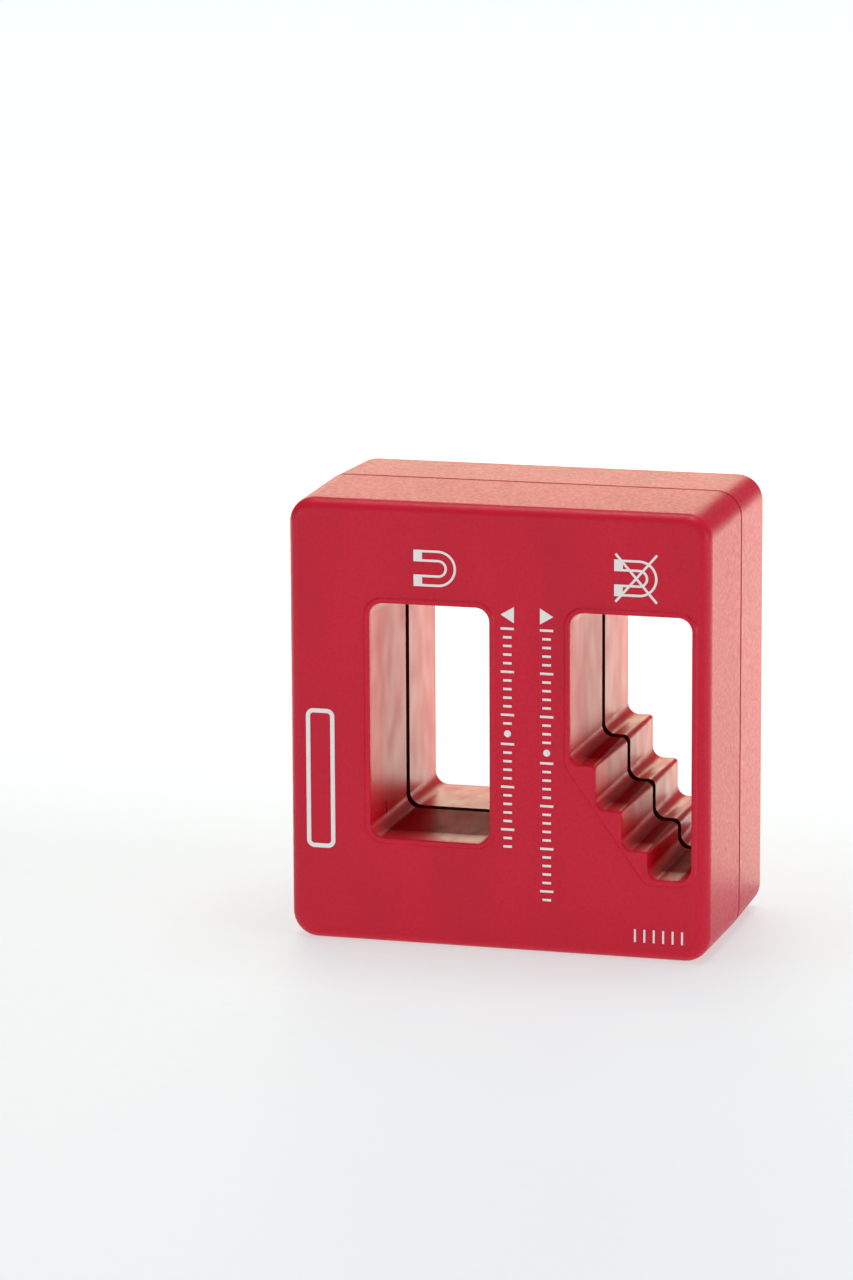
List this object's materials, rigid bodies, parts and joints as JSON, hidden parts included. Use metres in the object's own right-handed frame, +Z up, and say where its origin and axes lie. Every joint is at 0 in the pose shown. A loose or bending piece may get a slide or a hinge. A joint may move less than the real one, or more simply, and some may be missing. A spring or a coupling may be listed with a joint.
{
  "type": "screwdriver magnetiser and demagnetiser",
  "caption": "Hand-sized plastic block with a plain through window that magnetises a screwdriver tip and a stepped through window that demagnetises it.",
  "frame": {"origin": "centre of the underside, on the surface the block stands on", "axes": "+Z up along the height, +X to the right seen from the front, front face with the printed marks towards -Y"},
  "size_m": [0.05, 0.028, 0.052],
  "materials": {
    "shell": "injection-moulded ABS with a fine matte spark texture, deep crimson red",
    "magnet": "sintered hard ferrite, dark grey and slightly rough",
    "ink": "white pad-printed ink, satin"
  },
  "bodies": {
    "root": {"front_shell": "shell", "rear_shell": "shell", "side_magnet": "magnet", "web_magnet": "magnet", "magnetise_symbol": "ink", "demagnetise_symbol": "ink", "direction_arrows": "ink", "guide_scales": "ink", "name_panel": "ink", "code_ticks": "ink"}
  },
  "joints": []
}
